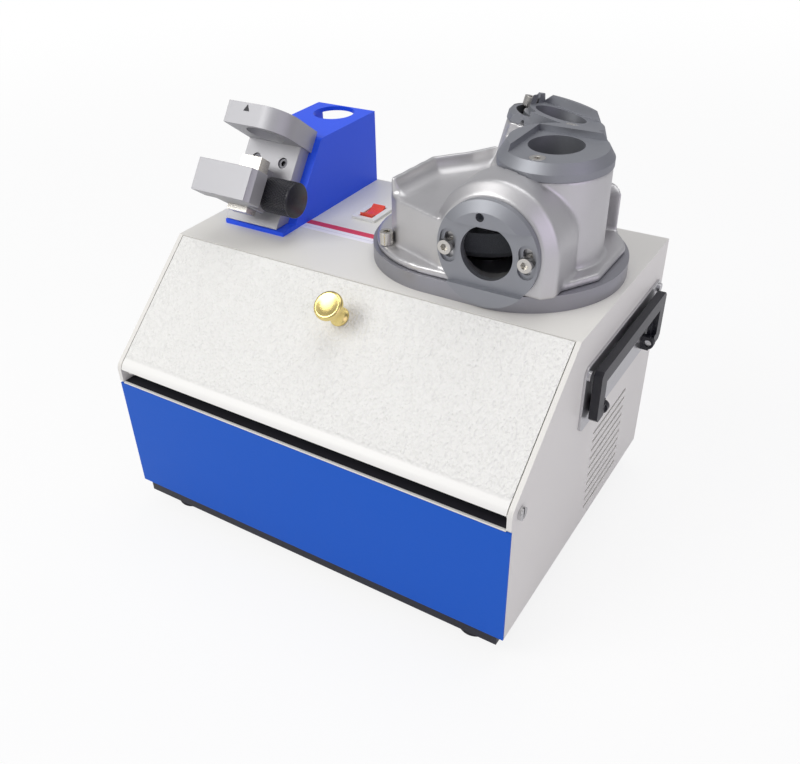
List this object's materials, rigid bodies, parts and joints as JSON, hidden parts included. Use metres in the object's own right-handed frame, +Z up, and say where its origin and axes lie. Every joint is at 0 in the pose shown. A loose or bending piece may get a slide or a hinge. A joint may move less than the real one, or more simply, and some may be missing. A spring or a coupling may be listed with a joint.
{
  "type": "end mill sharpener",
  "caption": "Bench sharpener for milling cutters: ported grinding head and setting gauge on a sheet steel housing with a tilting front cover.",
  "frame": {"origin": "on the bench under the middle of the housing, at the underside of the feet", "axes": "+Z up, +X to the operator's right, -Y towards the operator"},
  "size_m": [0.3094, 0.224, 0.2723],
  "materials": {
    "housing_paint": "light cream textured paint",
    "panel_paint": "blue paint, satin",
    "bracket_paint": "blue paint, satin",
    "black_paint": "black paint",
    "rubber": "moulded black rubber",
    "black_plastic": "matte black",
    "brass": "polished",
    "switch_white": "white, glossy",
    "switch_red": "red, glossy",
    "cast_aluminium": "fine blasted casting",
    "ring_aluminium": "bead blasted, slightly bluish",
    "gauge_aluminium": "satin anodised",
    "bright_steel": "ground bright",
    "screws": "zinc plated",
    "sheet_steel": "zinc coated sheet",
    "motor_aluminium": "plain cast",
    "winding": "varnished laminations and windings",
    "abrasive": "bonded abrasive"
  },
  "bodies": {
    "housing": {"base_pan": "black_paint", "rubber_feet": "rubber", "foot_screws": "screws", "housing_shell": "housing_paint", "rear_panel": "housing_paint", "front_panel": "panel_paint", "front_rail": "housing_paint", "top_rail": "housing_paint", "tray_wall": "sheet_steel", "collet_tray": "sheet_steel", "catch_magnets": "sheet_steel", "panel_screws": "screws", "hinge_pins": "bright_steel", "switch_body": "switch_white", "inlet_socket": "black_plastic", "inlet_pins": "bright_steel", "handle_plates": "bright_steel", "handle_brackets": "black_paint", "handle_pins": "bright_steel", "motor_case": "motor_aluminium", "motor_top_cap": "motor_aluminium", "motor_bottom_cap": "motor_aluminium", "motor_bolts": "screws", "stator": "winding", "bearings": "sheet_steel", "head_plate": "cast_aluminium", "head_body": "cast_aluminium", "head_screws": "screws", "top_port_ring": "ring_aluminium", "rear_port_ring": "ring_aluminium", "port_screws": "screws", "ring_screws": "screws", "gauge_bracket": "bracket_paint", "bracket_screws": "screws", "gauge_frame": "gauge_aluminium", "gauge_frame_screws": "screws", "gauge_rail": "bright_steel"},
    "cover": {"front_cover": "housing_paint", "cover_knob": "brass", "knob_screw": "screws"},
    "spindle": {"spindle_shaft": "bright_steel", "rotor": "sheet_steel", "cooling_fan": "black_plastic", "wheel_hub": "bright_steel", "grinding_wheel": "abrasive", "wheel_nut": "bright_steel"},
    "rocker": {"rocker": "switch_red"},
    "handle_right": {"handle_right": "black_plastic"},
    "handle_left": {"handle_left": "black_plastic"},
    "front_ring": {"front_port_ring": "ring_aluminium"},
    "slider": {"gauge_slider": "gauge_aluminium"},
    "clamp_knob": {"clamp_knob": "black_plastic"}
  },
  "joints": [
    {"name": "cover_hinge", "type": "hinge", "parent": "housing", "child": "cover", "pos_m": [0, -0.1017, 0.11388], "axis": [1, 0, 0], "range_deg": [0, 50]},
    {"name": "spindle_turn", "type": "hinge", "parent": "housing", "child": "spindle", "pos_m": [0.058, 0.026, 0.15], "axis": [0, 0, 1], "continuous": true},
    {"name": "switch_rock", "type": "hinge", "parent": "housing", "child": "rocker", "pos_m": [-0.046, 0.055, 0.179], "axis": [1, 0, 0], "range_deg": [-8, 8]},
    {"name": "handle_right_fold", "type": "hinge", "parent": "housing", "child": "handle_right", "pos_m": [0.1507, 0.04, 0.1235], "axis": [0, 1, 0], "range_deg": [0, 90]},
    {"name": "handle_left_fold", "type": "hinge", "parent": "housing", "child": "handle_left", "pos_m": [-0.1507, 0.04, 0.1235], "axis": [0, -1, 0], "range_deg": [0, 90]},
    {"name": "front_ring_turn", "type": "hinge", "parent": "housing", "child": "front_ring", "pos_m": [0.082, -0.026, 0.217], "axis": [0, 1, 0], "range_deg": [-8, 8]},
    {"name": "slider_travel", "type": "slide", "parent": "housing", "child": "slider", "axis": [0, 0.5976, 0.8018], "range_m": [0, 0.009]},
    {"name": "clamp_turn", "type": "hinge", "parent": "slider", "child": "clamp_knob", "pos_m": [-0.088, -0.00476, 0.21173], "axis": [1, 0, 0], "range_deg": [-180, 0]}
  ]
}
